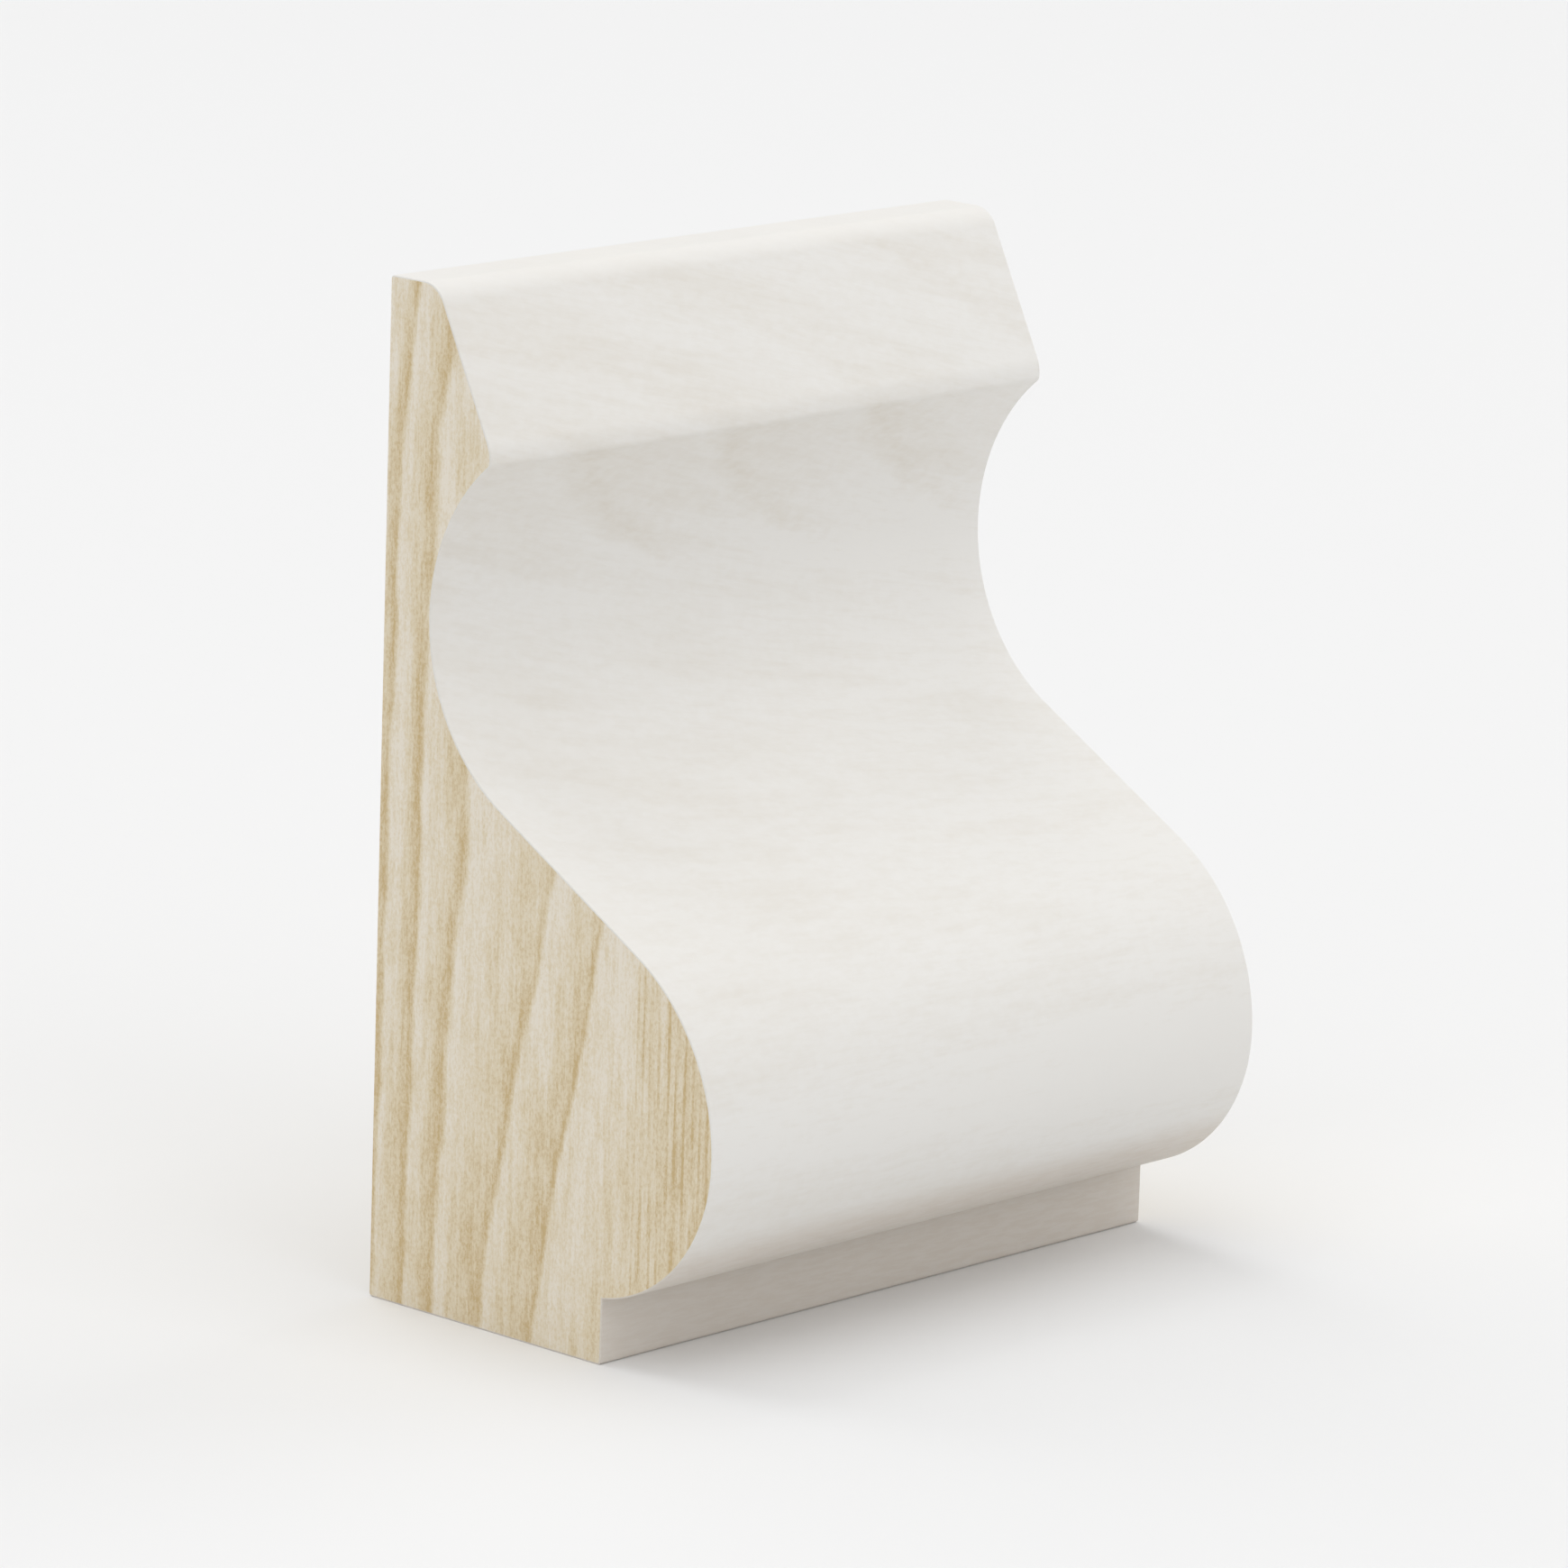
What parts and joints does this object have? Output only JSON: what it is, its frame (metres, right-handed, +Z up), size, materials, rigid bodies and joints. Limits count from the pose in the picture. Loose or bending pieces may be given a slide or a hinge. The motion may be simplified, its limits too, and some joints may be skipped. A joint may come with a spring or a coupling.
{
  "type": "inlay moulding",
  "caption": "Short square-cut length of primed wooden inlay moulding: bevelled top, nose, deep cove, full swell curling to a lip, and a slim tongue at the foot.",
  "frame": {"origin": "middle of the bottom of the bounding box, in the plane that the foot stands on", "axes": "+Z up along the flat back, +X along the run of the moulding, -Y towards the moulded front, +Y towards the back"},
  "size_m": [0.031, 0.018, 0.04],
  "materials": {
    "primed_wood": "warm white primer with faint grain on the moulded sides, bare pale softwood on the two cut ends and the back"
  },
  "bodies": {
    "root": {"inlay_moulding": "primed_wood"}
  },
  "joints": []
}
